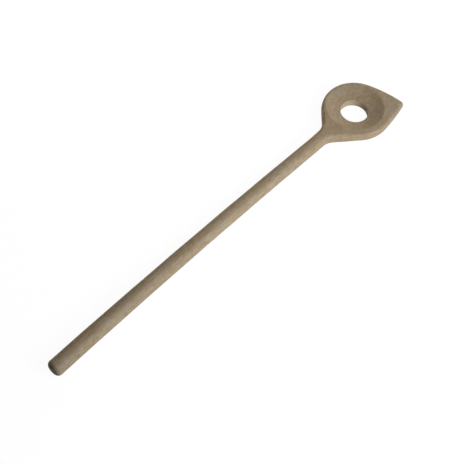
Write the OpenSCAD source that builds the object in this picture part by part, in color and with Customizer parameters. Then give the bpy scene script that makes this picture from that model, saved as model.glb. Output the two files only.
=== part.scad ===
// Corner spoon, one piece of turned and shaped beech: a long round handle that runs out into a flat
// head, which is round but for one corner, with a shallow bowl in its top and a round hole through
// the bowl.
// The origin is the middle of the hole, on the plane that the spoon lies on. +X runs along the handle
// towards the head, +Z is up out of the bowl, and the corner is on the -Y side.

/* [Handle] */
// Length of the whole spoon, from the butt to the foremost point of the corner
spoon_length = 350; // [250:1:450]
// Diameter of the handle at the butt
butt_d = 12.5; // [10:0.1:16]
// Diameter of the handle at the neck
neck_d = 11.5; // [9:0.1:14]
// How far the handle's middle bows sideways off a straight line, away from the corner's side
handle_bow = 1.3; // [0:0.1:4]
// Distance of the handle's line off the bowl's centre, away from the corner's side
handle_shift = 1; // [0:0.1:2]
// Length of the butt's rounded end
butt_round = 2.4; // [1:0.1:4]
// Diameter of the flat in the middle of the butt
butt_flat_d = 6; // [3:0.1:8]

/* [Head] */
// Diameter of the head's round part
head_d = 57; // [52:0.5:70]
// Thickness of the head
head_thickness = 12; // [10:0.1:16]
// Distance that the corner stands out past the round part
corner_reach = 10.8; // [7:0.1:16]
// Angle of the corner off the handle's line
corner_angle = 36; // [28:1:50]
// Radius of the corner's tip, seen from above
corner_round = 3.4; // [2.6:0.1:5]
// Radius of the slightly bulged side in front of the corner
front_side_r = 110; // [80:1:400]
// Radius of the slightly bulged side behind the corner
back_side_r = 190; // [80:1:400]
// Distance of the round part's centre off the bowl's centre, towards the corner's side
head_shift = 1.7; // [0:0.1:2.5]
// Angle at which the head's shoulders run in towards the handle
shoulder_angle = 43; // [35:1:52]
// Radius of the hollow between a shoulder and the handle
neck_fillet = 14; // [8:0.5:20]
// Length of round handle between the neck's hollows and where the handle starts to flatten
neck_lead = 7; // [4:0.5:12]

/* [Edges] */
// Width of the rounding along the head's top edge
edge_round = 2; // [1:0.1:2.5]
// Height above the back at which the corner is widest; the widest line rises to it from the handle
edge_height = 9; // [6:0.1:10]
// Width over which the head's back curves up to its edge
back_round = 13; // [8:0.5:16]

/* [Bowl] */
// Width of the flat rim round the bowl
rim_w = 5; // [4:0.1:8]
// Depth of the bowl's round floor, were it not for the hole
bowl_depth = 7; // [5:0.1:9]
// Diameter of the hole
hole_d = 22.5; // [16:0.5:28]

/* [Hidden] */
beech = [0.62, 0.55, 0.44];
// Radii, and the height of the handle's axis at the neck and at the butt, which lies on the ground
neck_r = neck_d / 2;
butt_r = butt_d / 2;
head_r = head_d / 2;
neck_y = handle_shift;
neck_z = head_thickness / 2;
butt_z = butt_r;
// The bowl is a piece of a ball: its rim's radius, and the ball's radius and centre height
bowl_r = head_r - rim_w;
ball_r = (bowl_r * bowl_r + bowl_depth * bowl_depth) / (2 * bowl_depth);
ball_z = head_thickness - bowl_depth + ball_r;
// Centres of the round part and of the corner's tip
head_c = [0, -head_shift];
tip_c = head_c + (head_r + corner_reach - corner_round) * [cos(corner_angle), -sin(corner_angle)];
// How finely the plan and the surfaces are divided
head_steps = 15;
side_steps = 5;
tip_steps = 7;
fillet_steps = 8;
lead_steps = 3;
across_steps = 12;
handle_steps = 14;
butt_steps = 6;
edge_shares = [0, 0.06, 0.22, 0.48, 0.8, 1.02];
back_shares = [0, 0.012, 0.05, 0.12, 0.23, 0.38, 0.57, 0.8, 1.02];
// Cutters reach this far past the faces that they cut
over = 1;

// Points of an arc, without its first point
function arc(centre, r, from, to, steps) =
    [for (i = [1:steps]) let (a = from + (to - from) * i / steps) centre + r * [cos(a), sin(a)]];
// Points between two points, without the first
function between(a, b, steps) = [for (i = [1:steps]) a + (b - a) * i / steps];
function direction(a, b) = atan2(b.y - a.y, b.x - a.x);
function smooth(t) = let (c = min(max(t, 0), 1)) c * c * (3 - 2 * c);
function mix(a, b, t) = a + (b - a) * t;
// Height of a quarter ellipse at a share of its width, from 0 at its edge to 1 at its crown
function quarter(share) = let (t = min(max(share, 0), 1)) sqrt(max(1 - (1 - t) * (1 - t), 0));

// Centre of the arc that touches both the round part and the tip from outside, on the side of hand
function side_centre(r, hand) =
    let (
        span = tip_c - head_c,
        d = norm(span),
        along = ((r - head_r) * (r - head_r) - (r - corner_round) * (r - corner_round) + d * d) / (2 * d),
        across = sqrt(max((r - head_r) * (r - head_r) - along * along, 0)),
        u = span / d
    )
    head_c + along * u + hand * across * [-u.y, u.x];
front_c = side_centre(front_side_r, -1);
back_c = side_centre(back_side_r, 1);

// Each shoulder is a line that touches the round part; hand is 1 on the +Y side and -1 on the other
shoulder_turn = 90 + shoulder_angle;
function shoulder_out(hand) = [cos(shoulder_turn), hand * sin(shoulder_turn)];
function fillet_centre(hand) =
    let (n = shoulder_out(hand), y = neck_y + hand * (neck_r + neck_fillet))
    [head_c.x + (head_r + neck_fillet - n.y * (y - head_c.y)) / n.x, y];
neck_x = min(fillet_centre(1).x, fillet_centre(-1).x) - neck_lead;

// One edge of the neck, from the round handle to the shoulder's start
function neck_edge(hand) =
    let (f = fillet_centre(hand), y = neck_y + hand * neck_r, start = [neck_x, y], touch = [f.x, y])
    concat(
        [start],
        between(start, touch, lead_steps),
        arc(f, neck_fillet, -90 * hand, hand * (shoulder_turn - 180), fillet_steps)
    );
left_neck = neck_edge(1);
right_neck = neck_edge(-1);

// The head's edge from the left shoulder's start, round the corner, to the right shoulder's start
left_touch = head_c + head_r * shoulder_out(1);
front_turn = direction(front_c, head_c);
back_turn = direction(back_c, head_c);
tip_front = direction(front_c, tip_c);
tip_back = direction(back_c, tip_c);
head_edge = concat(
    between(left_neck[len(left_neck) - 1], left_touch, side_steps),
    arc(head_c, head_r, shoulder_turn, front_turn, head_steps),
    arc(front_c, front_side_r, front_turn, tip_front, side_steps),
    arc(tip_c, corner_round, tip_front, tip_back, tip_steps),
    arc(back_c, back_side_r, tip_back, back_turn, side_steps),
    arc(head_c, head_r, back_turn, -shoulder_turn, head_steps),
    between(head_c + head_r * shoulder_out(-1), right_neck[len(right_neck) - 1], side_steps)
);
front_x = max([for (p = head_edge) p.x]);
butt_x = front_x - spoon_length;

// The whole plan as one chain of edges, carried on along the handle, for the distance to the edge
plan = concat(
    [[butt_x, neck_y + neck_r]],
    left_neck,
    head_edge,
    [for (i = [len(right_neck) - 2:-1:0]) right_neck[i]],
    [[butt_x, neck_y - neck_r]]
);
function edge_gap(p, a, b) =
    let (ab = b - a, t = min(max((p - a) * ab / (ab * ab), 0), 1))
    norm(p - a - t * ab);
function inset(p) = min([for (i = [1:len(plan) - 1]) edge_gap(p, plan[i - 1], plan[i])]);

// The section passes from a circle at the neck's start to the flat head at the bowl's rim
function headness(x) = smooth((x - neck_x) / (-bowl_r - neck_x));
// Height of the widest line, from the handle's axis at the neck to the corner's edge
function edge_z(x) = mix(neck_z, edge_height, smooth((x - neck_x) / (front_x - neck_x)));
function top_z(p) =
    let (h = headness(p.x), crown = mix(neck_z + neck_r, head_thickness, h))
    mix(edge_z(p.x), crown, quarter(inset(p) / mix(neck_r, edge_round, h)));
// Where the neck is narrower than the back's rounding, the rounding ends at the neck's middle line
function back_width(x) =
    let (width = mix(neck_r, back_round, headness(x)))
    x > -bowl_r ? width : min(width, inset([x, neck_y]));
function back_z(p) =
    let (crown = mix(neck_z - neck_r, 0, headness(p.x)))
    mix(edge_z(p.x), crown, quarter(inset(p) / back_width(p.x)));
function on_top(p) = [p.x, p.y, top_z(p)];
function on_back(p) = [p.x, p.y, back_z(p)];

// A ring of points round the neck, over the top from left to right and back underneath
ring_size = 2 * across_steps;
function across(a, b, k) = mix(a, b, (1 - cos(180 * k / across_steps)) / 2);
function neck_ring(i) =
    [for (k = [0:ring_size - 1])
        k <= across_steps
            ? on_top(across(left_neck[i], right_neck[i], k))
            : on_back(across(left_neck[i], right_neck[i], ring_size - k))];
function round_ring(centre, r) =
    [for (k = [0:ring_size - 1]) let (a = 180 * k / across_steps) centre + r * [0, cos(a), sin(a)]];

// The handle's rings, from the rounded butt to the neck
butt_c = [butt_x, neck_y, butt_z];
butt_rings = [for (i = [0:butt_steps - 1])
    let (a = 90 * i / butt_steps)
    round_ring(butt_c + [butt_round * (1 - sin(a)), 0, 0], mix(butt_flat_d / 2, butt_r, cos(a)))];
handle_start = butt_c + [butt_round, 0, 0];
handle_end = [neck_x, neck_y, neck_z];
handle_rings = [for (i = [0:handle_steps - 1])
    let (t = i / handle_steps)
    round_ring(mix(handle_start, handle_end, t) + [0, 4 * handle_bow * t * (1 - t), 0], mix(butt_r, neck_r, t))];
rings = concat(
    [for (i = [butt_steps - 1:-1:1]) butt_rings[i]],
    handle_rings,
    [for (i = [0:len(left_neck) - 1]) neck_ring(i)]
);
ring_count = len(rings);

// The head is a fan of rays from the origin to its edge and to the last ring across the neck
last_left = left_neck[len(left_neck) - 1];
last_right = right_neck[len(right_neck) - 1];
rim = concat(
    [for (i = [0:len(head_edge) - 2]) head_edge[i]],
    [for (k = [across_steps:-1:0]) across(last_left, last_right, k)]
);
rim_count = len(rim);
edge_count = len(head_edge) - 1;
// Each ray is divided closely near the edge and ends at the middle
function ray(p, shares, width) =
    let (reach = norm(p))
    [for (s = shares) p * max(1 - s * width / reach, 0.05)];
top_rays = [for (p = rim) [for (q = ray(p, edge_shares, edge_round)) on_top(q)]];
back_rays = [for (p = rim) [for (q = ray(p, back_shares, back_round)) on_back(q)]];

// All points: the butt's middle, the rings, the top's rays, the back's rays and the head's two middles
ring_start = 1;
top_start = ring_start + ring_count * ring_size;
top_size = len(edge_shares);
back_start = top_start + rim_count * top_size;
back_size = len(back_shares);
middle_top = back_start + rim_count * back_size;
middle_back = middle_top + 1;
points = concat(
    [butt_c],
    [for (ring = rings) for (p = ring) p],
    [for (r = top_rays) for (p = r) p],
    [for (r = back_rays) for (p = r) p],
    [[0, 0, head_thickness], [0, 0, 0]]
);
// A point on the head's edge or on the last ring is shared, so that the shell is closed
last_ring = ring_start + (ring_count - 1) * ring_size;
function top_at(i, k) = k > 0 || i < edge_count ? top_start + i * top_size + k : last_ring + rim_count - 1 - i;
function back_at(i, k) =
    k > 0 ? back_start + i * back_size + k
    : i < edge_count ? top_at(i, 0)
    : last_ring + (ring_size - (rim_count - 1 - i)) % ring_size;
function ring_at(i, k) = ring_start + i * ring_size + k % ring_size;
faces = concat(
    [for (k = [0:ring_size - 1]) [0, ring_at(0, k), ring_at(0, k + 1)]],
    [for (i = [0:ring_count - 2]) for (k = [0:ring_size - 1])
        each [[ring_at(i, k), ring_at(i + 1, k), ring_at(i + 1, k + 1)],
              [ring_at(i, k), ring_at(i + 1, k + 1), ring_at(i, k + 1)]]],
    [for (i = [0:rim_count - 1]) for (k = [0:top_size - 2])
        let (j = (i + 1) % rim_count)
        each [[top_at(i, k), top_at(j, k), top_at(j, k + 1)],
              [top_at(i, k), top_at(j, k + 1), top_at(i, k + 1)]]],
    [for (i = [0:rim_count - 1]) for (k = [0:back_size - 2])
        let (j = (i + 1) % rim_count)
        each [[back_at(j, k), back_at(i, k), back_at(i, k + 1)],
              [back_at(j, k), back_at(i, k + 1), back_at(j, k + 1)]]],
    [for (i = [0:rim_count - 1])
        let (j = (i + 1) % rim_count)
        each [[top_at(i, top_size - 1), top_at(j, top_size - 1), middle_top],
              [back_at(j, back_size - 1), back_at(i, back_size - 1), middle_back]]]
);

// The blank before the bowl is turned and the hole is drilled
module blank() {
    polyhedron(points = points, faces = faces, convexity = 6);
}

// The bowl's cutter: the ball's cap under the head's top, and a straight way up above it
module bowl_cutter() {
    rotate_extrude($fn = 96)
        intersection() {
            translate([0, ball_z]) circle(r = ball_r, $fn = 360);
            square([bowl_r, head_thickness + over]);
        }
}

module spoon() {
    color(beech)
        difference() {
            blank();
            bowl_cutter();
            translate([0, 0, -over]) cylinder(h = head_thickness + 2 * over, d = hole_d, $fn = 96);
        }
}

spoon();
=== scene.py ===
"""A corner spoon of raw beech lying on a pale floor.

The spoon is one piece of wood: a long round handle that runs out into a flat head, which is round but
for one corner, with a shallow bowl in its top and a round hole through the bowl. Its surface is worked
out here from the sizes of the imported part, with finer steps, softened edges and a wooden finish.
"""

import logging
import math
from dataclasses import dataclass, field
from enum import Enum
from typing import Any, Mapping, Sequence, Union

import bmesh
import bpy
import numpy as np
from mathutils import Matrix, Vector


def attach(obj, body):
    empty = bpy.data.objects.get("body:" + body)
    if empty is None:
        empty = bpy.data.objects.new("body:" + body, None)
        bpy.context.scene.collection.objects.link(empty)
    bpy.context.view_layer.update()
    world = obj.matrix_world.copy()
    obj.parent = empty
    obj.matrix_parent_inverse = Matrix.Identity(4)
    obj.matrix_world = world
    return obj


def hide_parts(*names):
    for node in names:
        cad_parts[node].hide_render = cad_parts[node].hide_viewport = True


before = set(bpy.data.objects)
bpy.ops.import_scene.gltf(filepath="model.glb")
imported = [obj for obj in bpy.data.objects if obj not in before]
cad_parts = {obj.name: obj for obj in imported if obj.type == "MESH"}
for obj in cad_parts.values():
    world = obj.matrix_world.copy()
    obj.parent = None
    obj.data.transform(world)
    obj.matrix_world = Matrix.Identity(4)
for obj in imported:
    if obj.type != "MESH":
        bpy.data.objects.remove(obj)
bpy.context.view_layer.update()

log = logging.getLogger("corner_spoon")

# Sizes below are in millimetres and angles in degrees; a mesh is made in metres
MM = 0.001
# The height and width of the photograph's frame, in pixels
FRAME_PX = 465
SENSOR_MM = 36.0


class Side(Enum):
    """The two sides of the handle's line, as the sign of Y."""

    LEFT = 1
    RIGHT = -1


def unit(angle: float) -> np.ndarray:
    """The unit vector at an angle in the plan."""
    return np.array([math.cos(math.radians(angle)), math.sin(math.radians(angle))])


def arc(centre: np.ndarray, radius: float, start: float, end: float, steps: int) -> np.ndarray:
    """Points of an arc without its first: the centre plus the radius times evenly turned unit vectors.

    Args:
        centre: The arc's centre in the plan.
        radius: Its radius.
        start: Angle of its first point.
        end: Angle of its last point.
        steps: Number of equal steps between them.

    Returns:
        An array of steps points in the plan.
    """
    turns = np.radians(start + (end - start) * np.arange(1, steps + 1) / steps)
    return centre + radius * np.stack([np.cos(turns), np.sin(turns)], axis=1)


def straight(start: np.ndarray, end: np.ndarray, steps: int) -> np.ndarray:
    """Points of a straight line without its first, evenly spaced.

    Args:
        start: The line's first point.
        end: Its last point.
        steps: Number of equal steps between them.

    Returns:
        An array of steps points.
    """
    return start + (end - start) * (np.arange(1, steps + 1) / steps)[:, None]


def bearing(start: np.ndarray, end: np.ndarray) -> float:
    """The angle of the line from one point of the plan to another."""
    return math.degrees(math.atan2(end[1] - start[1], end[0] - start[0]))


def mix(a: Any, b: Any, share: Any) -> Any:
    """The value that lies a share of the way from a to b."""
    return a + (b - a) * share


def smooth(share: np.ndarray) -> np.ndarray:
    """A share from 0 to 1 with a level start and end: three squares less two cubes."""
    held = np.clip(share, 0.0, 1.0)
    return held * held * (3.0 - 2.0 * held)


def quarter(share: np.ndarray) -> np.ndarray:
    """Height of a quarter ellipse at a share of its width, from 0 at its edge to 1 at its crown."""
    held = np.clip(share, 0.0, 1.0)
    return np.sqrt(np.maximum(1.0 - (1.0 - held) ** 2, 0.0))


def soft_min(a: np.ndarray, b: np.ndarray, blend: float) -> np.ndarray:
    """The lower of two heights, with the crease between them rounded off.

    Where the two differ by less than blend, the result is their mean weighted by the difference, less
    a hump that is highest, a quarter of blend, where they cross.

    Args:
        a: The first heights.
        b: The second heights.
        blend: The difference over which the crease is rounded.

    Returns:
        The blended heights.
    """
    share = np.clip(0.5 + 0.5 * (b - a) / blend, 0.0, 1.0)
    return mix(b, a, share) - blend * share * (1.0 - share)


@dataclass(frozen=True)
class SpoonSizes:
    """The spoon's driving sizes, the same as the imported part's."""

    spoon_length: float = 350.0
    butt_d: float = 12.5
    neck_d: float = 11.5
    handle_bow: float = 1.3
    handle_shift: float = 1.0
    butt_round: float = 2.4
    butt_flat_d: float = 6.0
    head_d: float = 57.0
    head_thickness: float = 12.0
    corner_reach: float = 10.8
    corner_angle: float = 36.0
    corner_round: float = 3.4
    front_side_r: float = 110.0
    back_side_r: float = 190.0
    head_shift: float = 1.7
    shoulder_angle: float = 43.0
    neck_fillet: float = 14.0
    neck_lead: float = 7.0
    edge_round: float = 2.0
    edge_height: float = 9.0
    back_round: float = 13.0
    rim_w: float = 5.0
    bowl_depth: float = 7.0
    hole_d: float = 22.5

    @property
    def neck_r(self) -> float:
        """Radius of the handle at the neck."""
        return self.neck_d / 2

    @property
    def butt_r(self) -> float:
        """Radius of the handle at the butt, and the height of its axis there."""
        return self.butt_d / 2

    @property
    def head_r(self) -> float:
        """Radius of the head's round part."""
        return self.head_d / 2

    @property
    def neck_z(self) -> float:
        """Height of the handle's axis at the neck."""
        return self.head_thickness / 2

    @property
    def bowl_r(self) -> float:
        """Radius of the bowl's rim."""
        return self.head_r - self.rim_w

    @property
    def hole_r(self) -> float:
        """Radius of the hole."""
        return self.hole_d / 2


@dataclass
class Outline:
    """The spoon's outline from above: two hollow neck edges, and the head's edge round its corner.

    The head's edge is a run of arcs and lines that touch: a shoulder line, the round part, the bulged
    side in front of the corner, the corner's tip, the bulged side behind it, the round part again and
    the other shoulder line.
    """

    sizes: SpoonSizes
    round_steps: int = 96
    side_steps: int = 22
    tip_steps: int = 22
    fillet_steps: int = 26
    lead_steps: int = 10
    shoulder_steps: int = 16
    head_c: np.ndarray = field(init=False)
    tip_c: np.ndarray = field(init=False)
    neck_x: float = field(init=False)
    butt_x: float = field(init=False)
    neck_edges: dict = field(init=False)
    head_edge: np.ndarray = field(init=False)
    chain: np.ndarray = field(init=False)

    def __post_init__(self) -> None:
        """Works out the edges from the sizes."""
        s = self.sizes
        self.head_c = np.array([0.0, -s.head_shift])
        reach = s.head_r + s.corner_reach - s.corner_round
        self.tip_c = self.head_c + reach * unit(-s.corner_angle)
        self.neck_x = min(self.fillet_centre(side)[0] for side in Side) - s.neck_lead
        self.neck_edges = {side: self.neck_edge(side) for side in Side}
        self.head_edge = self.edge_round_head()
        self.butt_x = self.head_edge[:, 0].max() - s.spoon_length
        left = self.neck_edges[Side.LEFT]
        right = self.neck_edges[Side.RIGHT]
        start = np.array([[self.butt_x, left[0, 1]]])
        end = np.array([[self.butt_x, right[0, 1]]])
        self.chain = np.concatenate([start, left, self.head_edge, right[-2::-1], end])

    def side_centre(self, radius: float, hand: int) -> np.ndarray:
        """Centre of the arc that touches the round part and the corner's tip from outside.

        It lies as far from the two centres as the arc's radius less theirs, so it is where two circles
        cross.

        Args:
            radius: The arc's radius.
            hand: 1 or -1, for the side of the line between the two centres.

        Returns:
            The centre in the plan.
        """
        s = self.sizes
        span = self.tip_c - self.head_c
        apart = float(np.hypot(*span))
        far = radius - s.head_r
        near = radius - s.corner_round
        along = (far**2 - near**2 + apart**2) / (2 * apart)
        across = math.sqrt(max(far**2 - along**2, 0.0))
        ahead = span / apart
        return self.head_c + along * ahead + hand * across * np.array([-ahead[1], ahead[0]])

    def shoulder_out(self, side: Side) -> np.ndarray:
        """The unit vector out of the head across a shoulder's line."""
        return unit(side.value * (90.0 + self.sizes.shoulder_angle))

    def fillet_centre(self, side: Side) -> np.ndarray:
        """Centre of the hollow that touches the handle's side and the shoulder's line."""
        s = self.sizes
        out = self.shoulder_out(side)
        y = s.handle_shift + side.value * (s.neck_r + s.neck_fillet)
        x = (s.head_r + s.neck_fillet - out[1] * (y - self.head_c[1])) / out[0]
        return np.array([self.head_c[0] + x, y])

    def neck_edge(self, side: Side) -> np.ndarray:
        """One edge of the neck: a straight piece along the handle, then the hollow up to the shoulder.

        Args:
            side: The side of the handle's line.

        Returns:
            Its points from the round handle to the shoulder's start.
        """
        s = self.sizes
        centre = self.fillet_centre(side)
        y = s.handle_shift + side.value * s.neck_r
        start = np.array([[self.neck_x, y]])
        lead = straight(start[0], np.array([centre[0], y]), self.lead_steps)
        last = side.value * (s.shoulder_angle - 90.0)
        hollow = arc(centre, s.neck_fillet, -90.0 * side.value, last, self.fillet_steps)
        return np.concatenate([start, lead, hollow])

    def edge_round_head(self) -> np.ndarray:
        """The head's edge from the left shoulder's start, round the corner, to the right one's.

        Returns:
            Its points, without the first.
        """
        s = self.sizes
        shoulder = 90.0 + s.shoulder_angle
        front = self.side_centre(s.front_side_r, -1)
        back = self.side_centre(s.back_side_r, 1)
        front_turn = bearing(front, self.head_c)
        back_turn = bearing(back, self.head_c)
        tip_front = bearing(front, self.tip_c)
        tip_back = bearing(back, self.tip_c)
        left_touch = self.head_c + s.head_r * self.shoulder_out(Side.LEFT)
        right_touch = self.head_c + s.head_r * self.shoulder_out(Side.RIGHT)
        left_neck = self.neck_edges[Side.LEFT][-1]
        right_neck = self.neck_edges[Side.RIGHT][-1]
        return np.concatenate([
            straight(left_neck, left_touch, self.shoulder_steps),
            arc(self.head_c, s.head_r, shoulder, front_turn, self.round_steps),
            arc(front, s.front_side_r, front_turn, tip_front, self.side_steps),
            arc(self.tip_c, s.corner_round, tip_front, tip_back, self.tip_steps),
            arc(back, s.back_side_r, tip_back, back_turn, self.side_steps),
            arc(self.head_c, s.head_r, back_turn, -shoulder, self.round_steps),
            straight(right_touch, right_neck, self.shoulder_steps),
        ])

    def inset(self, points: np.ndarray) -> np.ndarray:
        """Distance of points to the outline: the least distance to any of its short straight pieces.

        Args:
            points: Points in the plan.

        Returns:
            One distance for each point.
        """
        nearest = np.full(len(points), np.inf)
        for start, end in zip(self.chain[:-1], self.chain[1:]):
            along = end - start
            share = np.clip((points - start) @ along / (along @ along), 0.0, 1.0)
            away = points - start - share[:, None] * along
            nearest = np.minimum(nearest, np.hypot(away[:, 0], away[:, 1]))
        return nearest


@dataclass
class Blank:
    """The shaped blank before its bowl is turned: the heights of its top and back over the plan.

    From the head's edge, top and back each rise or fall along a quarter ellipse to a flat. Towards the
    handle the flats and the widths of the ellipses change smoothly until the section is a circle. The
    top's edge is sanded softer here than the edge's rounding, by the factor edge_ease.
    """

    outline: Outline
    edge_ease: float = 1.25

    def headness(self, x: np.ndarray) -> np.ndarray:
        """A share from 0 at the round handle to 1 at the bowl's rim."""
        neck_x = self.outline.neck_x
        return smooth((x - neck_x) / (-self.outline.sizes.bowl_r - neck_x))

    def edge_z(self, x: np.ndarray) -> np.ndarray:
        """Height of the widest line, from the handle's axis at the neck to the corner's edge."""
        s = self.outline.sizes
        neck_x = self.outline.neck_x
        front_x = self.outline.butt_x + s.spoon_length
        return mix(s.neck_z, s.edge_height, smooth((x - neck_x) / (front_x - neck_x)))

    def top(self, points: np.ndarray) -> np.ndarray:
        """Heights of the top: the edge's height plus a quarter ellipse over the edge's rounding.

        Args:
            points: Points in the plan.

        Returns:
            One height for each point.
        """
        s = self.outline.sizes
        x = points[:, 0]
        head = self.headness(x)
        crown = mix(s.neck_z + s.neck_r, s.head_thickness, head)
        share = self.outline.inset(points) / mix(s.neck_r, s.edge_round * self.edge_ease, head)
        return mix(self.edge_z(x), crown, quarter(share))

    def back(self, points: np.ndarray) -> np.ndarray:
        """Heights of the back: the edge's height less a quarter ellipse over the back's rounding.

        Where the neck is narrower than the rounding, the rounding ends at the neck's middle line.

        Args:
            points: Points in the plan.

        Returns:
            One height for each point.
        """
        s = self.outline.sizes
        x = points[:, 0]
        head = self.headness(x)
        crown = mix(s.neck_z - s.neck_r, 0.0, head)
        width = mix(s.neck_r, s.back_round, head)
        middle = self.outline.inset(np.stack([x, np.full_like(x, s.handle_shift)], axis=1))
        width = np.where(x > 0.0, width, np.minimum(width, middle))
        return mix(self.edge_z(x), crown, quarter(self.outline.inset(points) / width))


@dataclass
class Bowl:
    """The bowl, a piece of a ball, and the hole through it with its two softened edges."""

    sizes: SpoonSizes
    rim_blend: float = 0.50
    hole_top_round: float = 0.5
    hole_back_round: float = 0.3

    @property
    def ball_r(self) -> float:
        """Radius of the ball, from the rim's radius and the depth."""
        s = self.sizes
        return (s.bowl_r**2 + s.bowl_depth**2) / (2 * s.bowl_depth)

    def floor(self, radii: np.ndarray) -> np.ndarray:
        """Height of the ball's surface at distances from the hole's axis.

        Args:
            radii: Distances from the axis.

        Returns:
            One height for each distance.
        """
        s = self.sizes
        centre_z = s.head_thickness - s.bowl_depth + self.ball_r
        return centre_z - np.sqrt(np.maximum(self.ball_r**2 - radii**2, 0.0))

    def hole_top(self, steps: int) -> np.ndarray:
        """The hole's upper edge: an arc that touches the bowl's floor and the hole's wall.

        Args:
            steps: Number of steps.

        Returns:
            Distances from the axis and heights, from the floor to the wall.
        """
        r = self.hole_top_round
        hole_r = self.sizes.hole_r
        rise = hole_r / math.sqrt(self.ball_r**2 - hole_r**2)
        edge_z = float(self.floor(np.array([hole_r]))[0])
        centre_z = edge_z + r * rise - r * math.hypot(1.0, rise)
        tilt = math.degrees(math.atan(rise))
        turns = np.radians(np.linspace(90.0 + tilt, 180.0, steps + 1))
        return np.stack([hole_r + r + r * np.cos(turns), centre_z + r * np.sin(turns)], axis=1)

    def hole_back(self, steps: int) -> np.ndarray:
        """The hole's lower edge: a quarter circle that touches the wall and the flat back.

        Args:
            steps: Number of steps.

        Returns:
            Distances from the axis and heights, from the wall to the back.
        """
        r = self.hole_back_round
        turns = np.radians(np.linspace(180.0, 270.0, steps + 1))
        return np.stack([self.sizes.hole_r + r + r * np.cos(turns), r + r * np.sin(turns)], axis=1)


@dataclass
class Head:
    """The head as a fan of profiles round the hole's axis.

    Each profile starts at the head's edge, or at the last section of the neck, runs in over the top,
    down the bowl and the hole, and back out underneath.
    """

    blank: Blank
    bowl: Bowl
    across_steps: int = 48
    edge_rows: int = 13
    rim_rows: int = 8
    crease_rows: int = 10
    floor_rows: int = 20
    fillet_rows: int = 6
    wall_rows: int = 6
    back_rows: int = 34
    edge_band: float = 2.1
    crease_out: float = 1.0
    crease_in: float = 1.2

    def section(self, left: np.ndarray, right: np.ndarray) -> np.ndarray:
        """Points of the plan across the neck, closer together at the edges, from left to right.

        Args:
            left: The left edge's point.
            right: The right edge's point.

        Returns:
            The points, both ends included.
        """
        turns = np.linspace(0.0, math.pi, self.across_steps + 1)
        return mix(left, right, ((1.0 - np.cos(turns)) / 2)[:, None])

    def rim(self) -> np.ndarray:
        """The fan's outer points in the plan: the head's edge, then the last section of the neck."""
        edges = self.blank.outline.neck_edges
        last = self.section(edges[Side.LEFT][-1], edges[Side.RIGHT][-1])
        return np.concatenate([self.blank.outline.head_edge[:-1], last[::-1]])

    def radii(self, reach: np.ndarray) -> tuple[np.ndarray, np.ndarray]:
        """Distances from the hole's axis at which a ray's top and back rows lie.

        The top's rows are close together at the edge, where they follow one less a cosine, and at the
        bowl's rim. The back's rows spread from the hole to the edge in the same way.

        Args:
            reach: The rays' lengths to the rim.

        Returns:
            The top's distances from the rim in, and the back's from the hole out, a row for each ray.
        """
        bowl_r = self.bowl.sizes.bowl_r
        turns = np.linspace(0.0, math.pi / 2, self.edge_rows + 1)
        edge = reach[:, None] - self.edge_band * (1.0 - np.cos(turns))
        crease = np.full(len(reach), bowl_r + self.crease_out)[:, None]
        shares = (np.arange(1, self.rim_rows + 1) / self.rim_rows)[None, :]
        flat = mix(edge[:, -1:], crease, shares)
        inner = np.linspace(bowl_r + self.crease_out, bowl_r - self.crease_in, self.crease_rows + 1)
        hole = self.bowl.hole_top(self.fillet_rows)[0, 0]
        floor = np.linspace(bowl_r - self.crease_in, hole, self.floor_rows + 1)
        shared = np.concatenate([inner[1:], floor[1:]])
        top = np.concatenate([edge, flat, np.broadcast_to(shared, (len(reach), len(shared)))], axis=1)
        start = self.bowl.hole_back(self.fillet_rows)[-1, 0]
        turns = np.linspace(math.pi / 2, 0.0, self.back_rows + 1)
        back = reach[:, None] - (reach[:, None] - start) * (1.0 - np.cos(turns))
        return top, back

    def surface(self) -> np.ndarray:
        """The fan's grid, a profile for each ray.

        On the top, the height is the softened lesser of the blank's and the ball's. The hole's rows
        are the same for each ray.

        Returns:
            The grid's points.
        """
        rim = self.rim()
        reach = np.hypot(rim[:, 0], rim[:, 1])
        rays = rim / reach[:, None]
        top_r, back_r = self.radii(reach)
        top_xy = top_r[:, :, None] * rays[:, None, :]
        back_xy = back_r[:, :, None] * rays[:, None, :]
        top_z = self.blank.top(top_xy.reshape(-1, 2)).reshape(top_r.shape)
        top_z = soft_min(top_z, self.bowl.floor(top_r), self.bowl.rim_blend)
        back_z = self.blank.back(back_xy.reshape(-1, 2)).reshape(back_r.shape)
        upper = self.bowl.hole_top(self.fillet_rows)
        lower = self.bowl.hole_back(self.fillet_rows)
        wall = mix(upper[-1], lower[0], (np.arange(1, self.wall_rows) / self.wall_rows)[:, None])
        hole = np.concatenate([upper[1:], wall, lower[:-1]])
        hole_xy = hole[None, :, :1] * rays[:, None, :]
        hole_z = np.broadcast_to(hole[:, 1], hole_xy.shape[:2])
        return np.concatenate([
            np.concatenate([top_xy, top_z[:, :, None]], axis=2),
            np.concatenate([hole_xy, hole_z[:, :, None]], axis=2),
            np.concatenate([back_xy, back_z[:, :, None]], axis=2),
        ], axis=1)


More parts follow.
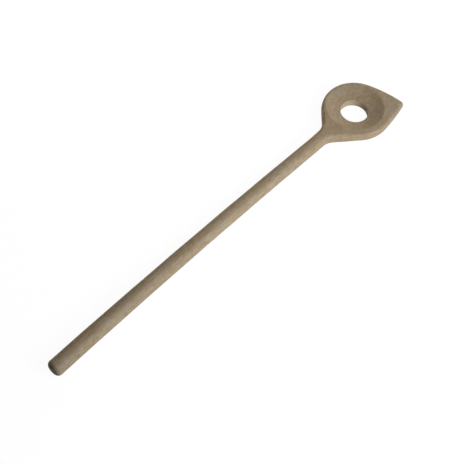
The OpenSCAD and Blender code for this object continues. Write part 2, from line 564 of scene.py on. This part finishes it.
@dataclass
class Handle:
    """The handle and neck as rings: over the top from left to right, and back underneath.

    The butt is sanded rounder here than the part's, by the factor butt_ease.
    """

    head: Head
    butt_ease: float = 1.5
    butt_rows: int = 12
    flat_rows: int = 3
    shaft_rows: int = 190

    @property
    def outline(self) -> Outline:
        """The spoon's outline."""
        return self.head.blank.outline

    @property
    def rounding(self) -> float:
        """Length of the butt's rounding along the handle."""
        return self.outline.sizes.butt_round * self.butt_ease

    def round_rings(self, centres: np.ndarray, radii: np.ndarray) -> np.ndarray:
        """Circles across the handle's line: each centre plus its radius times turned unit vectors.

        Args:
            centres: The circles' centres.
            radii: Their radii.

        Returns:
            A grid with a circle in each row.
        """
        count = 2 * self.head.across_steps
        turns = 2 * math.pi * np.arange(count) / count
        round_once = np.stack([np.zeros(count), np.cos(turns), np.sin(turns)], axis=1)
        return centres[:, None, :] + radii[:, None, None] * round_once[None, :, :]

    def butt(self) -> np.ndarray:
        """The butt's end: a small flat, then a quarter ellipse out to the handle's radius.

        Returns:
            A grid with a ring in each row, from the end's middle outwards.
        """
        s = self.outline.sizes
        flat_r = s.butt_flat_d / 2 / self.butt_ease
        turns = np.linspace(math.pi / 2, 0.0, self.butt_rows + 1)
        flat = flat_r * np.arange(self.flat_rows) / self.flat_rows
        radii = np.concatenate([flat, mix(flat_r, s.butt_r, np.cos(turns))])
        ahead = np.concatenate([np.zeros(self.flat_rows), self.rounding * (1.0 - np.sin(turns))])
        centres = np.stack([
            self.outline.butt_x + ahead,
            np.full_like(ahead, s.handle_shift),
            np.full_like(ahead, s.butt_r),
        ], axis=1)
        return self.round_rings(centres, radii)

    def shaft(self) -> np.ndarray:
        """The round handle: circles along a line that bows sideways as four t times one less t.

        Returns:
            A grid with a ring in each row, from the butt's rounding to before the neck.
        """
        s = self.outline.sizes
        shares = np.arange(1, self.shaft_rows) / self.shaft_rows
        start = np.array([self.outline.butt_x + self.rounding, s.handle_shift, s.butt_r])
        end = np.array([self.outline.neck_x, s.handle_shift, s.neck_z])
        centres = mix(start, end, shares[:, None])
        centres[:, 1] += 4 * s.handle_bow * shares * (1.0 - shares)
        return self.round_rings(centres, mix(s.butt_r, s.neck_r, shares))

    def neck(self) -> np.ndarray:
        """The neck: sections between its two edges, with the blank's top and back heights.

        Returns:
            A grid with a ring in each row, from the round handle to the head's fan.
        """
        lefts = self.outline.neck_edges[Side.LEFT]
        rights = self.outline.neck_edges[Side.RIGHT]
        plan = self.head.section(lefts[:, None, :], rights[:, None, :])
        shape = plan.shape[:2]
        flat = plan.reshape(-1, 2)
        top = self.head.blank.top(flat).reshape(shape)
        back = self.head.blank.back(flat).reshape(shape)
        over = np.concatenate([plan, top[:, :, None]], axis=2)
        under = np.concatenate([plan, back[:, :, None]], axis=2)
        return np.concatenate([over, under[:, -2:0:-1]], axis=1)

    def surface(self) -> np.ndarray:
        """The whole handle's grid, from the butt's middle to the head."""
        return np.concatenate([self.butt(), self.shaft(), self.neck()])


@dataclass(frozen=True)
class HandFinish:
    """The slight unevenness that sanding by hand leaves, always a little inside the turned shape.

    The depth at a point is the mean of three waves, each the sine of the point's distance along its own
    direction, scaled to run from nothing to the full depth.
    """

    depth: float = 0.14
    lengths: tuple[float, ...] = (61.0, 37.0, 23.0)
    directions: tuple[tuple[float, float, float], ...] = (
        (1.0, 0.35, 0.2),
        (0.8, -0.9, 0.5),
        (0.5, 1.0, -1.0),
    )

    def depths(self, points: np.ndarray) -> np.ndarray:
        """Depth of the sanding at each point.

        Args:
            points: Points of the surface.

        Returns:
            One depth for each point.
        """
        waves = np.zeros(len(points))
        for length, direction in zip(self.lengths, self.directions):
            waves += np.sin(2 * math.pi * (points @ np.array(direction)) / length)
        return self.depth * (0.5 + 0.5 * waves / len(self.lengths))


@dataclass
class BeechSpoon:
    """The whole spoon as one closed piece of wood."""

    sizes: SpoonSizes
    finish: HandFinish
    name: str = "beech_spoon"
    merge_gap: float = 1e-7

    def grid_faces(self, rows: int, columns: int, first: int, rows_close: bool) -> np.ndarray:
        """Four-sided faces of a grid whose columns, or whose rows, close into a ring.

        Args:
            rows: Number of rows.
            columns: Number of points in a row.
            first: Number of the grid's first point.
            rows_close: True if the last row joins the first, or False if each row is a ring.

        Returns:
            The faces' point numbers.
        """
        across = np.arange(columns - 1 if rows_close else columns)
        down = np.arange(rows if rows_close else rows - 1)
        row, column = np.meshgrid(down, across, indexing="ij")
        next_row = (row + 1) % rows
        next_column = (column + 1) % columns
        corners = [
            row * columns + column,
            row * columns + next_column,
            next_row * columns + next_column,
            next_row * columns + column,
        ]
        return first + np.stack(corners, axis=2).reshape(-1, 4)

    def build(self) -> bpy.types.Object:
        """Makes the spoon's mesh from the head's fan and the handle's rings.

        Returns:
            The finished object, at the origin.
        """
        head = Head(Blank(Outline(self.sizes)), Bowl(self.sizes))
        fan = head.surface()
        rings = Handle(head).surface()
        fan_faces = self.grid_faces(fan.shape[0], fan.shape[1], 0, rows_close=True)
        ring_start = fan.shape[0] * fan.shape[1]
        ring_faces = self.grid_faces(rings.shape[0], rings.shape[1], ring_start, rows_close=False)
        points = np.concatenate([fan.reshape(-1, 3), rings.reshape(-1, 3)])
        mesh = bpy.data.meshes.new(self.name)
        faces = np.concatenate([fan_faces, ring_faces])
        mesh.from_pydata((points * MM).tolist(), [], faces.tolist())
        self.close(mesh)
        self.sand(mesh)
        spoon = bpy.data.objects.new(self.name, mesh)
        bpy.context.scene.collection.objects.link(spoon)
        return spoon

    def close(self, mesh: bpy.types.Mesh) -> None:
        """Merges the points that the grids share and turns all faces outwards.

        Args:
            mesh: The mesh to close.
        """
        work = bmesh.new()
        work.from_mesh(mesh)
        bmesh.ops.remove_doubles(work, verts=work.verts, dist=self.merge_gap)
        bmesh.ops.recalc_face_normals(work, faces=work.faces)
        open_edges = sum(1 for edge in work.edges if len(edge.link_faces) != 2)
        log.info("%s: %d points, %d open edges", self.name, len(work.verts), open_edges)
        work.to_mesh(mesh)
        work.free()
        mesh.shade_smooth()

    def sand(self, mesh: bpy.types.Mesh) -> None:
        """Moves each point inwards along its normal by the finish's depth.

        Args:
            mesh: The mesh to change.
        """
        count = len(mesh.vertices)
        points = np.empty(count * 3, dtype=np.float32)
        normals = np.empty(count * 3, dtype=np.float32)
        mesh.vertices.foreach_get("co", points)
        mesh.vertex_normals.foreach_get("vector", normals)
        points = points.reshape(-1, 3).astype(float)
        normals = normals.reshape(-1, 3).astype(float)
        depths = self.finish.depths(points / MM) * MM
        moved = points - normals * depths[:, None]
        mesh.vertices.foreach_set("co", moved.astype(np.float32).ravel())
        mesh.update()


Number = Union["Value", float]


class Value:
    """A number socket on which Python's operators build Math nodes."""

    def __init__(self, graph: "Graph", socket: bpy.types.NodeSocket) -> None:
        """Wraps a socket of a graph."""
        self.graph = graph
        self.socket = socket

    def math(self, operation: str, *inputs: Number) -> "Value":
        """A Math node.

        Args:
            operation: The node's operation.
            *inputs: Its numbers or values, in order.

        Returns:
            The node's result.
        """
        settings = {"operation": operation}
        node = self.graph.node("ShaderNodeMath", settings, dict(enumerate(inputs)))
        return Value(self.graph, node.outputs[0])

    def __add__(self, other: Number) -> "Value":
        """The sum."""
        return self.math("ADD", self, other)

    def __radd__(self, other: Number) -> "Value":
        """The sum, reflected."""
        return self.math("ADD", other, self)

    def __sub__(self, other: Number) -> "Value":
        """The difference."""
        return self.math("SUBTRACT", self, other)

    def __rsub__(self, other: Number) -> "Value":
        """The difference, reflected."""
        return self.math("SUBTRACT", other, self)

    def __mul__(self, other: Number) -> "Value":
        """The product."""
        return self.math("MULTIPLY", self, other)

    def __rmul__(self, other: Number) -> "Value":
        """The product, reflected."""
        return self.math("MULTIPLY", other, self)

    def __truediv__(self, other: Number) -> "Value":
        """The quotient."""
        return self.math("DIVIDE", self, other)

    def __rtruediv__(self, other: Number) -> "Value":
        """The quotient, reflected."""
        return self.math("DIVIDE", other, self)

    def __abs__(self) -> "Value":
        """The size without its sign."""
        return self.math("ABSOLUTE", self)

    def fraction(self) -> "Value":
        """What is left of the value past the whole number below it."""
        return self.math("FRACT", self)

    def root(self) -> "Value":
        """The square root."""
        return self.math("SQRT", self)

    def turn_from(self, other: "Value") -> "Value":
        """The angle in radians whose tangent is this value over another."""
        return self.math("ARCTAN2", self, other)

    def step(self, low: Number, high: Number) -> "Value":
        """A share that goes smoothly from 0 at low to 1 at high.

        Args:
            low: The value at which it leaves 0.
            high: The value at which it reaches 1.

        Returns:
            The share.
        """
        settings = {"interpolation_type": "SMOOTHSTEP"}
        inputs = {"Value": self, "From Min": low, "From Max": high}
        node = self.graph.node("ShaderNodeMapRange", settings, inputs)
        return Value(self.graph, node.outputs[0])


class Graph:
    """The nodes of one material, or of the world."""

    def __init__(self, owner: Union[bpy.types.Material, bpy.types.World]) -> None:
        """Empties the owner's nodes."""
        owner.use_nodes = True
        self.owner = owner
        self.tree = owner.node_tree
        self.tree.nodes.clear()

    def node(self, kind: str, settings: Mapping[str, Any], inputs: Mapping[Any, Any]) -> bpy.types.Node:
        """Adds a node.

        Args:
            kind: The node's type.
            settings: Its own settings, set first.
            inputs: Values or links of its sockets, by name or number.

        Returns:
            The node.
        """
        made = self.tree.nodes.new(kind)
        for name, setting in settings.items():
            setattr(made, name, setting)
        for key, given in inputs.items():
            if isinstance(given, Value):
                self.tree.links.new(given.socket, made.inputs[key])
            elif isinstance(given, bpy.types.NodeSocket):
                self.tree.links.new(given, made.inputs[key])
            else:
                made.inputs[key].default_value = given
        return made

    def vector(self, x: Number, y: Number, z: Number) -> bpy.types.NodeSocket:
        """A vector of three values."""
        return self.node("ShaderNodeCombineXYZ", {}, {"X": x, "Y": y, "Z": z}).outputs[0]

    def parts(self, vector: bpy.types.NodeSocket) -> tuple[Value, Value, Value]:
        """The three values of a vector."""
        split = self.node("ShaderNodeSeparateXYZ", {}, {0: vector})
        return tuple(Value(self, socket) for socket in split.outputs)

    def scaled(self, vector: bpy.types.NodeSocket, factor: float) -> bpy.types.NodeSocket:
        """A vector times a number."""
        settings = {"operation": "SCALE"}
        return self.node("ShaderNodeVectorMath", settings, {0: vector, "Scale": factor}).outputs[0]

    def noise(self, vector: bpy.types.NodeSocket, detail: float = 2.0, roughness: float = 0.5) -> Value:
        """Soft noise from 0 to 1 whose lumps are about one unit of the vector long.

        Args:
            vector: Where to read the noise.
            detail: Number of finer layers.
            roughness: Strength of each finer layer.

        Returns:
            The noise.
        """
        inputs = {"Vector": vector, "Scale": 1.0, "Detail": detail, "Roughness": roughness}
        return Value(self, self.node("ShaderNodeTexNoise", {}, inputs).outputs["Fac"])

    def blend(self, share: Number, start: Any, end: Any) -> bpy.types.NodeSocket:
        """A colour between two colours.

        Args:
            share: How far from the first to the second.
            start: The first colour, or a link to one.
            end: The second colour, or a link to one.

        Returns:
            The blended colour.
        """
        settings = {"data_type": "RGBA", "blend_type": "MIX", "clamp_factor": True}
        return self.node("ShaderNodeMix", settings, {0: share, 6: start, 7: end}).outputs[2]


Colour = tuple[float, float, float, float]
Span = tuple[float, float]


@dataclass(frozen=True)
class BeechFinish:
    """Raw, sanded beech with a little grey age: rings, rays, fibres, end grain and turning marks, with
    painted shade darkening the butt's end and painted light on the hole's wall.

    The pattern is cut out of a solid log. Its pith runs nearly along the handle, below the spoon, so
    the rings show as long lines on the handle and as flat arcs round the bowl. Lengths run along the
    grain and widths across it. A span holds the values at which a mark leaves nothing and is full, a
    dark_ value is how far a pattern darkens the wood, and a share_ is how far a colour covers it.
    """

    name: str = "raw_beech"
    pale: Colour = (0.414, 0.314, 0.191, 1.0)
    deep: Colour = (0.300, 0.209, 0.110, 1.0)
    ray_brown: Colour = (0.190, 0.130, 0.075, 1.0)
    aged: Colour = (0.325, 0.268, 0.190, 1.0)
    end_grain_and_shade: Colour = (0.170, 0.125, 0.075, 1.0)
    ochre: Colour = (0.300, 0.195, 0.090, 1.0)
    hole_wall_light: Colour = (0.510, 0.418, 0.285, 1.0)
    bleached: Colour = (0.425, 0.362, 0.272, 1.0)
    pith_y: float = -14.0
    pith_z: float = -46.0
    pith_tilt_y: float = 0.035
    pith_tilt_z: float = -0.025
    ring_width: float = 2.3
    ring_wander: float = 2.6
    wander_length: float = 120.0
    wander_width: float = 60.0
    late_start: Span = (0.45, 0.93)
    late_end: Span = (0.95, 1.0)
    season_length: float = 400.0
    season_width: float = 4.6
    ray_length: float = 2.2
    ray_depth: float = 7.0
    ray_thickness: float = 0.32
    ray_span: Span = (0.58, 0.74)
    fibre_length: float = 22.0
    fibre_thickness: float = 0.7
    fibre_layers: float = 3.0
    fibre_roughness: float = 0.6
    pore_length: float = 1.6
    pore_thickness: float = 0.16
    pore_span: Span = (0.56, 0.76)
    mottle_length: float = 13.0
    mottle_width: float = 5.0
    patch_length: float = 4.5
    patch_width: float = 1.8
    ochre_span: Span = (0.50, 0.70)
    bleached_span: Span = (0.28, 0.50)
    age_size: float = 34.0
    age_span: Span = (0.35, 0.75)
    turning_width: float = 0.5
    turning_fade: float = 1.5
    end_span: Span = (0.35, 1.0)
    hole_wall_light_span: Span = (-0.1, 0.5)
    butt_span: Span = (0.3, 2.6)
    base_tone: float = 0.36
    dark_late: float = 0.10
    dark_late_season: float = 0.24
    dark_season: float = 0.35
    dark_fibre: float = 0.95
    dark_mottle: float = 1.3
    dark_turning: float = 0.12
    share_aged: float = 0.45
    share_ochre: float = 0.48
    share_bleached: float = 0.34
    share_ray: float = 0.42
    share_pore: float = 0.20
    share_hole_wall_light: float = 0.85
    share_end_grain_and_shade: float = 0.75
    roughness: float = 0.62
    rough_fibre: float = 0.16
    smooth_ray: float = 0.08
    rough_end: float = 0.12
    specular: float = 0.30
    bump_depth: float = 0.05
    raised_fibre: float = 0.5
    sunk_pore: float = 0.5
    sunk_ray: float = 0.25
    raised_turning: float = 0.35

    def along_grain(
        self, graph: Graph, at: bpy.types.NodeSocket, length: float, width: float
    ) -> bpy.types.NodeSocket:
        """Places for noise whose lumps are long along the grain.

        Args:
            graph: The material's nodes.
            at: The place in the wood, in millimetres.
            length: The lumps' length along the grain.
            width: Their width across it.

        Returns:
            The places.
        """
        x, y, z = graph.parts(at)
        return graph.vector(x / length, y / width, z / width)

    def material(self, bowl_r: float, hole_r: float, butt_x: float) -> bpy.types.Material:
        """Builds the wood.

        Args:
            bowl_r: Radius of the turned bowl.
            hole_r: Radius of the hole bored through the bowl.
            butt_x: Place of the butt's end along the handle.

        Returns:
            The material.
        """
        graph = Graph(bpy.data.materials.new(self.name))
        where = graph.node("ShaderNodeTexCoord", {}, {}).outputs["Object"]
        at = graph.scaled(where, 1.0 / MM)
        x, y, z = graph.parts(at)

        wander_at = self.along_grain(graph, at, self.wander_length, self.wander_width)
        wander = (graph.noise(wander_at, 1.0) - 0.5) * self.ring_wander
        from_pith_y = y - self.pith_y - x * self.pith_tilt_y
        from_pith_z = z - self.pith_z - x * self.pith_tilt_z
        depth = (from_pith_y * from_pith_y + from_pith_z * from_pith_z).root() + wander
        around = from_pith_y.turn_from(from_pith_z) * abs(self.pith_z)
        ring = (depth / self.ring_width).fraction()
        late = ring.step(*self.late_start) * (1.0 - ring.step(*self.late_end))
        season_at = graph.vector(x / self.season_length, depth / self.season_width, 0.0)
        season = graph.noise(season_at, 1.0)
        ray_at = graph.vector(x / self.ray_length, depth / self.ray_depth, around / self.ray_thickness)
        rays = graph.noise(ray_at, 1.0).step(*self.ray_span)

        fibre_at = self.along_grain(graph, at, self.fibre_length, self.fibre_thickness)
        fibres = graph.noise(fibre_at, self.fibre_layers, self.fibre_roughness)
        pore_at = self.along_grain(graph, at, self.pore_length, self.pore_thickness)
        pores = graph.noise(pore_at, 1.0).step(*self.pore_span)
        mottle = graph.noise(self.along_grain(graph, at, self.mottle_length, self.mottle_width))
        patches = graph.noise(self.along_grain(graph, at, self.patch_length, self.patch_width))
        age = graph.noise(graph.scaled(at, 1.0 / self.age_size)).step(*self.age_span)

        radius = (x * x + y * y).root()
        in_bowl = 1.0 - radius.step(bowl_r - self.turning_fade, bowl_r)
        # Painted light: the hole's wall, which the lamps barely reach, gets a paler colour that stands in
        # for light on it
        hole_wall_light_mask = 1.0 - (radius - hole_r).step(*self.hole_wall_light_span)
        turning = (graph.noise(graph.vector(radius / self.turning_width, 0.0, 0.0), 1.0) - 0.5) * in_bowl
        facing = graph.node("ShaderNodeNewGeometry", {}, {}).outputs["Normal"]
        end_grain = abs(graph.parts(facing)[0]).step(*self.end_span)
        # Painted shade: the butt's end, which faces away from the lamps, is darkened, partly as its darker
        # end grain and partly as painted shade
        butt_end_and_shade = (1.0 - (x - butt_x).step(*self.butt_span)) * end_grain

        tone = (
            late * (self.dark_late + season * self.dark_late_season)
            + (fibres - 0.5) * self.dark_fibre
            + (mottle - 0.5) * self.dark_mottle
            + (season - 0.5) * self.dark_season
            + turning * self.dark_turning
            + self.base_tone
        )
        bleach = 1.0 - patches.step(*self.bleached_span)
        colour = graph.blend(tone, self.pale, self.deep)
        colour = graph.blend(age * self.share_aged, colour, self.aged)
        colour = graph.blend(patches.step(*self.ochre_span) * self.share_ochre, colour, self.ochre)
        colour = graph.blend(bleach * self.share_bleached, colour, self.bleached)
        colour = graph.blend(rays * self.share_ray, colour, self.ray_brown)
        colour = graph.blend(pores * self.share_pore, colour, self.ray_brown)
        # Painted light: a paler colour on the hole's wall in place of light falling on it
        colour = graph.blend(hole_wall_light_mask * self.share_hole_wall_light, colour, self.hole_wall_light)
        # Painted shade: the butt's end gets a dark colour, partly its end grain and partly painted shade
        colour = graph.blend(butt_end_and_shade * self.share_end_grain_and_shade, colour, self.end_grain_and_shade)

        rough = (
            self.roughness
            + (fibres - 0.5) * self.rough_fibre
            - rays * self.smooth_ray
            + end_grain * self.rough_end
        )
        height = (
            (fibres - 0.5) * self.raised_fibre
            - pores * self.sunk_pore
            - rays * self.sunk_ray
            + turning * self.raised_turning
        )
        bumps = {"Strength": 1.0, "Distance": self.bump_depth * MM, "Height": height}
        bump = graph.node("ShaderNodeBump", {}, bumps)
        wood = {
            "Base Color": colour,
            "Roughness": rough,
            "Normal": bump.outputs[0],
            "Specular IOR Level": self.specular,
        }
        shader = graph.node("ShaderNodeBsdfPrincipled", {}, wood)
        graph.node("ShaderNodeOutputMaterial", {}, {"Surface": shader.outputs[0]})
        log.info("%s: %d nodes", self.name, len(graph.tree.nodes))
        return graph.owner


class Tint(Enum):
    """The lamps' colours: a little blue, plain, or a little yellow."""

    COOL = (0.955, 0.995, 1.08)
    PLAIN = (1.0, 1.0, 1.0)
    WARM = (1.07, 0.99, 0.89)


@dataclass(frozen=True)
class SoftBox:
    """A square studio lamp that faces a point of the handle's line.

    Its azimuth is measured from the handle's line towards the left, its distance, size and aimed point
    are in metres, and its power is in watts.
    """

    name: str
    azimuth: float
    elevation: float
    power: float
    aim_x: float
    tint: Tint = Tint.PLAIN
    distance: float = 0.45
    size: float = 0.27

    def place(self) -> None:
        """Makes the lamp."""
        lamp = bpy.data.lights.new(self.name, "AREA")
        lamp.shape = "SQUARE"
        lamp.size = self.size
        lamp.energy = self.power
        lamp.color = self.tint.value
        level = math.cos(math.radians(self.elevation))
        out = Vector((
            level * math.cos(math.radians(self.azimuth)),
            level * math.sin(math.radians(self.azimuth)),
            math.sin(math.radians(self.elevation)),
        ))
        holder = bpy.data.objects.new(self.name, lamp)
        holder.location = Vector((self.aim_x, 0.0, 0.0)) + out * self.distance
        holder.rotation_mode = "QUATERNION"
        holder.rotation_quaternion = (-out).to_track_quat("-Z", "Y")
        bpy.context.scene.collection.objects.link(holder)
        log.info("%s: %.2f W", self.name, self.power)


@dataclass(frozen=True)
class View:
    """The photograph's camera: which way it looks, and where in the frame the hole's middle lies."""

    azimuth: float = 49.377
    elevation: float = 57.753
    roll: float = -3.400
    distance: float = 700.0
    focal_px: float = 860.8
    hole_px: tuple[float, float] = (354.28, 111.47)
    nearest_seen: float = 0.01
    farthest_seen: float = 20.0

    def place(self, hole: Vector) -> None:
        """Makes the camera and hands it to the scene.

        The camera lies back from the hole along its line of sight, and aside by the hole's offset from
        the frame's middle.

        Args:
            hole: The middle of the hole, in metres.
        """
        azimuth = math.radians(self.azimuth)
        elevation = math.radians(self.elevation)
        roll = math.radians(self.roll)
        look = Vector((
            math.cos(elevation) * math.sin(azimuth),
            math.cos(elevation) * math.cos(azimuth),
            -math.sin(elevation),
        ))
        level = look.cross(Vector((0.0, 0.0, 1.0))).normalized()
        down = look.cross(level)
        right = level * math.cos(roll) + down * math.sin(roll)
        below = down * math.cos(roll) - level * math.sin(roll)
        scale = self.distance * MM / self.focal_px
        aside = (self.hole_px[0] - FRAME_PX / 2) * scale
        lower = (self.hole_px[1] - FRAME_PX / 2) * scale
        eye = hole - right * aside - below * lower - look * self.distance * MM
        lens = bpy.data.cameras.new("camera")
        lens.sensor_width = SENSOR_MM
        lens.lens = self.focal_px * SENSOR_MM / FRAME_PX
        lens.clip_start = self.nearest_seen
        lens.clip_end = self.farthest_seen
        camera = bpy.data.objects.new("camera", lens)
        turned = Matrix((right, -below, -look)).transposed()
        camera.matrix_world = Matrix.Translation(eye) @ turned.to_4x4()
        bpy.context.scene.collection.objects.link(camera)
        bpy.context.scene.camera = camera


@dataclass(frozen=True)
class Studio:
    """A white floor under a dim, even sky, with soft lamps low round the spoon."""

    view: View
    boxes: Sequence[SoftBox]
    floor_size: float = 6.0
    floor_drop: float = 0.0002
    floor_white: Colour = (0.90, 0.90, 0.89, 1.0)
    floor_glow: float = 0.90
    glow_strength: float = 1.06
    white: Colour = (1.0, 1.0, 1.0, 1.0)
    sky_light: float = 0.02

    def seen(self, graph: Graph) -> Value:
        """1 for rays that show the background: from the camera, a mirror or through glass."""
        path = graph.node("ShaderNodeLightPath", {}, {})
        camera = Value(graph, path.outputs["Is Camera Ray"])
        glossy = Value(graph, path.outputs["Is Glossy Ray"])
        through = Value(graph, path.outputs["Is Transmission Ray"])
        return camera + glossy + through

    def lay_floor(self) -> None:
        """Makes the floor, which glows white for seeing rays under the light that falls on it."""
        half = self.floor_size / 2
        z = -self.floor_drop
        mesh = bpy.data.meshes.new("floor")
        corners = [(-half, -half, z), (half, -half, z), (half, half, z), (-half, half, z)]
        mesh.from_pydata(corners, [], [(0, 1, 2, 3)])
        graph = Graph(bpy.data.materials.new("white_floor"))
        lit = graph.node("ShaderNodeBsdfDiffuse", {}, {"Color": self.floor_white})
        glow = graph.node("ShaderNodeEmission", {}, {"Color": self.white, "Strength": self.glow_strength})
        share = self.seen(graph) * self.floor_glow
        both = graph.node("ShaderNodeMixShader", {}, {0: share, 1: lit.outputs[0], 2: glow.outputs[0]})
        graph.node("ShaderNodeOutputMaterial", {}, {"Surface": both.outputs[0]})
        mesh.materials.append(graph.owner)
        floor = bpy.data.objects.new("floor", mesh)
        bpy.context.scene.collection.objects.link(floor)

    def light_sky(self) -> None:
        """Lights the world evenly, and shows it white."""
        graph = Graph(bpy.data.worlds.new("sky"))
        path = graph.node("ShaderNodeLightPath", {}, {})
        seen = Value(graph, path.outputs["Is Camera Ray"])
        strength = seen * (1.0 - self.sky_light) + self.sky_light
        sky = graph.node("ShaderNodeBackground", {}, {"Color": self.white, "Strength": strength})
        graph.node("ShaderNodeOutputWorld", {}, {"Surface": sky.outputs[0]})
        bpy.context.scene.world = graph.owner

    def set_up(self, sizes: SpoonSizes) -> None:
        """Makes the floor, the sky, the lamps and the camera.

        Args:
            sizes: The spoon's sizes, for what they face.
        """
        self.lay_floor()
        self.light_sky()
        for box in self.boxes:
            box.place()
        self.view.place(Vector((0.0, 0.0, sizes.neck_z)) * MM)
        settings = bpy.context.scene.view_settings
        settings.view_transform = "Standard"


def main() -> None:
    """Builds the spoon and its studio."""
    logging.basicConfig(level=logging.INFO, format="%(name)s: %(message)s")
    sizes = SpoonSizes()
    spoon = BeechSpoon(sizes, HandFinish()).build()
    wood = BeechFinish().material(sizes.bowl_r, sizes.hole_r, Outline(sizes).butt_x)
    spoon.data.materials.append(wood)
    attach(spoon, "root")
    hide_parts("spoon")
    log.info("%s: %d faces, of one piece of wood", spoon.name, len(spoon.data.polygons))
    cool, warm = Tint.COOL, Tint.WARM
    boxes = [
        SoftBox("key", azimuth=-76.0, elevation=37.5, power=1.16, aim_x=-0.135, tint=cool),
        SoftBox("near_fill", azimuth=-92.0, elevation=27.0, power=1.06, aim_x=-0.105, tint=cool),
        SoftBox("tip_light", azimuth=-8.0, elevation=21.0, power=0.80, aim_x=0.0, distance=0.60, size=0.35),
        SoftBox("far_head", azimuth=30.0, elevation=15.0, power=0.62, aim_x=-0.02, tint=warm),
        SoftBox("far_handle", azimuth=62.0, elevation=18.0, power=0.41, aim_x=-0.22, tint=warm, size=0.20),
        SoftBox("shoulder", azimuth=150.0, elevation=6.0, power=0.08, aim_x=-0.03, tint=warm, size=0.20),
    ]
    Studio(View(), boxes).set_up(sizes)


if __name__ == "__main__":
    main()
